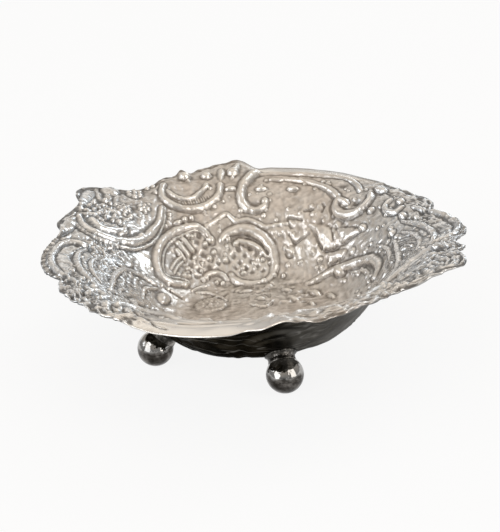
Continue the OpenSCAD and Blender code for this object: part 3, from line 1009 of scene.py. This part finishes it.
class Nodes:
    """Short way to write a node tree."""

    def __init__(self, tree):
        self.tree = tree

    def put(self, socket, value):
        if isinstance(value, bpy.types.NodeSocket):
            self.tree.links.new(value, socket)
        elif isinstance(value, tuple) and socket.type == "RGBA":
            socket.default_value = (*value, 1)
        else:
            socket.default_value = value

    def add(self, kind, inputs=None, **settings):
        node = self.tree.nodes.new(kind)
        for key, value in settings.items():
            setattr(node, key, value)
        for key, value in (inputs or {}).items():
            self.put(node.inputs[key], value)
        return node

    def attribute(self, name):
        return self.add("ShaderNodeAttribute", attribute_name=name).outputs["Fac"]

    def position(self):
        return self.add("ShaderNodeTexCoord").outputs["Object"]

    def axis(self, name):
        return self.add("ShaderNodeSeparateXYZ", {0: self.position()}).outputs[name]

    def noise(self, scale, detail):
        inputs = {"Scale": scale, "Detail": detail, "Roughness": 0.55, "Vector": self.position()}
        return self.add("ShaderNodeTexNoise", inputs).outputs["Fac"]

    def rings(self, across, around):
        """Noise drawn out along rings about the dish's middle."""
        place = self.add("ShaderNodeSeparateXYZ", {0: self.position()}).outputs
        turn = self.math("ARCTAN2", place["Y"], place["X"])
        reach = self.math("SQRT", self.math("ADD", self.math("POWER", place["X"], 2.0),
                                            self.math("POWER", place["Y"], 2.0)))
        flat = self.add("ShaderNodeCombineXYZ", {0: self.math("MULTIPLY", reach, across),
                                                 1: self.math("MULTIPLY", turn, around), 2: place["Z"]})
        inputs = {"Scale": 1.0, "Detail": 2.0, "Vector": flat.outputs[0]}
        return self.add("ShaderNodeTexNoise", inputs).outputs["Fac"]

    def cells(self, scale):
        inputs = {"Scale": scale, "Vector": self.position()}
        return self.add("ShaderNodeTexVoronoi", inputs).outputs["Distance"]

    def ramp(self, value, *stops):
        node = self.add("ShaderNodeValToRGB", {"Fac": value})
        while len(node.color_ramp.elements) < len(stops):
            node.color_ramp.elements.new(0.5)
        for element, (place, colour) in zip(node.color_ramp.elements, stops):
            element.position = place
            element.color = (*colour, 1)
        return node.outputs["Color"]

    def mix(self, share, first, second):
        return self.add("ShaderNodeMix", {0: share, 6: first, 7: second}, data_type="RGBA").outputs[2]

    def math(self, operation, first, second=0.0):
        return self.add("ShaderNodeMath", {0: first, 1: second}, operation=operation).outputs[0]

    def span(self, value, low, high):
        """Maps 0 to 1 onto low to high."""
        inputs = {"Value": value, "To Min": low, "To Max": high}
        return self.add("ShaderNodeMapRange", inputs).outputs["Result"]

    def between(self, value, low, high):
        """Maps low to high onto 0 to 1."""
        inputs = {"Value": value, "From Min": low, "From Max": high}
        return self.add("ShaderNodeMapRange", inputs).outputs["Result"]

    def bump(self, height, strength, distance, below=None):
        inputs = {"Height": height, "Strength": strength, "Distance": distance}
        if below:
            inputs["Normal"] = below
        return self.add("ShaderNodeBump", inputs).outputs["Normal"]


def metal(name):
    """A new metal material, its nodes and its shader."""
    material = bpy.data.materials.new(name)
    material.use_nodes = True
    shader = material.node_tree.nodes["Principled BSDF"]
    shader.inputs["Metallic"].default_value = 1.0
    return material, Nodes(material.node_tree), shader


def plug_in(n, shader, colour, roughness, normal):
    n.put(shader.inputs["Base Color"], colour)
    n.put(shader.inputs["Roughness"], roughness)
    n.put(shader.inputs["Normal"], normal)


def silver_inside():
    """Satin embossed silver: bright crests, partly polish and partly painted highlight; dark oxide in the
    recesses with painted shade; a smoother plain lip; ends painted cooler as painted light.
    """
    material, n, shader = metal("embossed_silver")
    oxide_and_shade, crest, plain, ends = (n.attribute(name) for name in ("oxide_and_shade", "crest", "plain", "ends"))
    ground = n.ramp(n.noise(55, 5), (0.32, (0.66, 0.595, 0.54)), (0.5, (0.745, 0.695, 0.65)),
                    (0.68, (0.8, 0.77, 0.735)))
    # Painted cool light: towards the dish's ends the ground is painted paler and cooler, the crests whiter
    # and the oxide a neutral dark in place of brown
    ground = n.mix(ends, ground, (0.8, 0.815, 0.83))
    mottle = n.ramp(n.noise(380, 5), (0.44, (0, 0, 0)), (0.64, (0.5, 0.5, 0.5)))
    ground = n.mix(mottle, ground, (0.44, 0.395, 0.35))
    ground = n.mix(plain, ground, (0.94, 0.9, 0.85))
    # Crests painted bright, partly polish on the high points and partly painted highlight, cream in the
    # middle and whiter at the ends
    bright = n.mix(crest, ground, n.mix(ends, (0.88, 0.845, 0.79), (0.97, 0.975, 0.98)))
    oxide = n.mix(ends, (0.17, 0.145, 0.12), (0.07, 0.07, 0.072))
    # Oxide in the recesses and lines together with the painted shade, made uneven by noise
    grime = n.math("MULTIPLY", oxide_and_shade, n.span(n.noise(420, 3), 0.55, 1.0))
    rough = n.math("ADD", n.span(n.noise(900, 2), 0.28, 0.4), n.math("MULTIPLY", oxide_and_shade, 0.15))
    rough = n.math("SUBTRACT", rough, n.math("MULTIPLY", ends, 0.12))
    rough = n.math("SUBTRACT", rough, n.math("MULTIPLY", plain, 0.04))
    stipple = n.bump(n.cells(1300), n.span(plain, 0.16, 0.03), 0.0002)
    plug_in(n, shader, n.mix(grime, bright, oxide), rough, n.bump(n.noise(2200, 2), 0.15, 0.0001, stipple))
    return material


# Places along X, in metres, between which the underside is painted paler, a painted reflection over its dark
# colour
PALER_FROM, PALER_FULL = 0.002, 0.045


def silver_underside():
    """Underside painted brown-black, partly tarnish and partly painted dark reflection, paler to one side as
    a painted reflection, with fine bright chased lines.
    """
    material, n, shader = metal("underside_tarnish_and_dark_reflection")
    black = n.ramp(n.noise(120, 5), (0.3, (0.02, 0.018, 0.014)), (0.6, (0.05, 0.045, 0.037)),
                   (0.85, (0.15, 0.138, 0.12)))
    grey = n.ramp(n.noise(90, 5), (0.3, (0.24, 0.23, 0.216)), (0.7, (0.6, 0.59, 0.57)))
    # Painted reflection: the brown-black, partly tarnish and partly painted dark reflection, turns paler grey
    # towards +X
    stain = n.mix(n.between(n.axis("X"), PALER_FROM, PALER_FULL), black, grey)
    line = n.ramp(n.rings(330, 1.6), (0.49, (0, 0, 0)), (0.51, (1, 1, 1)), (0.53, (0, 0, 0)))
    colour = n.mix(n.math("MULTIPLY", line, 0.4), stain, (0.34, 0.33, 0.31))
    shader.inputs["Specular Tint"].default_value = (0.3, 0.3, 0.3, 1)
    plug_in(n, shader, colour, n.span(n.noise(300, 3), 0.22, 0.45), n.bump(n.noise(700, 3), 0.2, 0.0003))
    return material


# Heights, in metres, between which the painted dark reflection on the balls' lower part gives way to brighter
# silver, and how far that wanders
DARK_REFLECTION_TOP, DARK_REFLECTION_END = 0.0055, 0.0064
DARK_REFLECTION_WANDER = 0.0016


def silver_polished():
    """Mirror-polished ball silver, painted dark on its lower part as a painted dark reflection, with uneven
    tone.
    """
    material, n, shader = metal("polished_silver")
    lower_dark_reflection = n.ramp(n.noise(420, 4), (0.35, (0.022, 0.019, 0.016)), (0.5, (0.055, 0.05, 0.045)),
                   (0.7, (0.17, 0.157, 0.144)))
    clear = n.ramp(n.noise(260, 4), (0.3, (0.28, 0.27, 0.26)), (0.65, (0.42, 0.41, 0.395)))
    # Painted dark reflection: the balls are painted darker below a height that wanders
    z = n.math("ADD", n.axis("Z"), n.span(n.noise(330, 2), -DARK_REFLECTION_WANDER, DARK_REFLECTION_WANDER))
    colour = n.mix(n.between(z, DARK_REFLECTION_TOP, DARK_REFLECTION_END), lower_dark_reflection, clear)
    wavy = n.bump(n.noise(260, 2), 0.5, 0.0006)
    plug_in(n, shader, colour, n.span(n.noise(500, 3), 0.03, 0.1), n.bump(n.noise(620, 2), 0.4, 0.0004, wavy))
    return material


def solder():
    """Dull, slightly pitted solder."""
    material, n, shader = metal("solder")
    stain = n.ramp(n.noise(520, 4), (0.35, (0.015, 0.014, 0.012)), (0.55, (0.09, 0.084, 0.076)),
                   (0.7, (0.36, 0.34, 0.32)))
    plug_in(n, shader, stain, n.span(n.noise(900, 2), 0.2, 0.42), n.bump(n.noise(700, 3), 0.7, 0.0006))
    return material


def seen_rays(n):
    """1 for the camera's rays and for what metal and glass show."""
    path = n.add("ShaderNodeLightPath").outputs
    both = n.math("MAXIMUM", path["Is Camera Ray"], path["Is Glossy Ray"])
    return n.math("MAXIMUM", both, path["Is Transmission Ray"])


FLOOR_SPAN = 3.0
FLOOR_GLOW = 0.88


def build_floor():
    """Plain white floor that takes a soft shadow."""
    bpy.ops.mesh.primitive_circle_add(vertices=96, radius=FLOOR_SPAN, fill_type="NGON")
    floor = bpy.context.active_object
    floor.name = "floor"
    material = bpy.data.materials.new("floor")
    material.use_nodes = True
    n = Nodes(material.node_tree)
    shader = material.node_tree.nodes["Principled BSDF"]
    shader.inputs["Base Color"].default_value = (0.85, 0.85, 0.85, 1)
    shader.inputs["Roughness"].default_value = 0.9
    glow = n.add("ShaderNodeEmission", {"Color": (1.0, 1.0, 1.0), "Strength": 1.0})
    share = n.math("MULTIPLY", seen_rays(n), FLOOR_GLOW)
    both = n.add("ShaderNodeMixShader", {0: share, 1: shader.outputs[0], 2: glow.outputs[0]})
    n.put(material.node_tree.nodes["Material Output"].inputs["Surface"], both.outputs[0])
    floor.data.materials.append(material)


# Soft boxes, in metres: name, place, size, how bright the face looks, colour
LIGHTS = (
    ("ceiling", (0.0, 0.1, 1.2), (0.9, 0.9), 0.35, (1.0, 0.92, 0.83)),
    ("back_wall", (0.0, 1.6, 1.0), (1.4, 0.5), 0.45, (1.0, 0.95, 0.88)),
    ("window_right", (0.9, 0.68, 0.98), (0.4, 0.5), 3.2, (0.84, 0.93, 1.0)),
    ("window_back", (0.5, 1.4, 0.14), (0.7, 0.4), 2.0, (0.88, 0.95, 1.0)),
    ("lamp_back", (-0.7, 1.3, 0.16), (0.7, 0.4), 0.8, (1.0, 0.94, 0.87)),
    ("window_left", (-1.3, 0.1, 0.7), (0.5, 0.5), 2.5, (0.90, 0.95, 1.0)),
    ("door_left", (-0.9, -0.75, 0.5), (0.7, 1.0), 2.4, (0.96, 0.98, 1.0)),
    ("door_right", (0.9, -0.75, 0.5), (0.7, 1.0), 2.4, (1.0, 0.97, 0.93)),
)
LIGHT_AIM = (0, 0, 0.03)


def area_light(name, place, size, radiance, colour):
    data = bpy.data.lights.new(name, "AREA")
    data.shape = "RECTANGLE"
    data.size, data.size_y = size
    data.energy = radiance * math.pi * size[0] * size[1]
    data.color = colour
    lamp = bpy.data.objects.new(name, data)
    bpy.context.scene.collection.objects.link(lamp)
    lamp.location = place
    lamp.rotation_euler = (Vector(LIGHT_AIM) - Vector(place)).to_track_quat("-Z", "Y").to_euler()


def build_light():
    """A dim warm room with soft boxes for its windows and doors."""
    world = bpy.data.worlds.new("room")
    bpy.context.scene.world = world
    world.use_nodes = True
    n = Nodes(world.node_tree)
    back = world.node_tree.nodes["Background"]
    rise = n.add("ShaderNodeSeparateXYZ", {0: n.add("ShaderNodeTexCoord").outputs["Generated"]}).outputs["Z"]
    room = n.ramp(rise, (0.0, (0.38, 0.385, 0.39)), (0.25, (0.42, 0.41, 0.40)), (0.5, (0.57, 0.535, 0.49)),
                  (0.75, (0.60, 0.55, 0.49)), (1.0, (0.58, 0.525, 0.46)))
    n.put(back.inputs["Color"], room)
    back.inputs["Strength"].default_value = 1.0
    for light in LIGHTS:
        area_light(*light)


def build_camera():
    """Camera at the photograph's viewing angle, with its slight roll."""
    data = bpy.data.cameras.new("camera")
    data.sensor_width = SENSOR
    data.lens = FOCAL_PIXELS * SENSOR / max(IMAGE_W, IMAGE_H)
    data.clip_start, data.clip_end = 0.01, 20
    camera = bpy.data.objects.new("camera", data)
    bpy.context.scene.collection.objects.link(camera)
    rise, roll = math.radians(CAMERA_ELEVATION), math.radians(CAMERA_ROLL)
    back = Vector((0, -math.cos(rise), math.sin(rise)))
    right = Vector((1, 0, 0))
    up = Vector((0, math.sin(rise), math.cos(rise)))
    axes = (math.cos(roll) * right - math.sin(roll) * up, math.sin(roll) * right + math.cos(roll) * up, back)
    camera.matrix_world = (Matrix.Translation((Vector(CAMERA_TARGET) + back * CAMERA_DISTANCE) * MM)
                           @ Matrix(axes).transposed().to_4x4())
    bpy.context.scene.camera = camera


bpy.context.scene.view_settings.view_transform = "Standard"
build_camera()
build_floor()
build_light()
build_dish()
polished_silver, solder_silver = silver_polished(), solder()
for foot_name in BALLS:
    build_foot(foot_name, polished_silver, solder_silver)
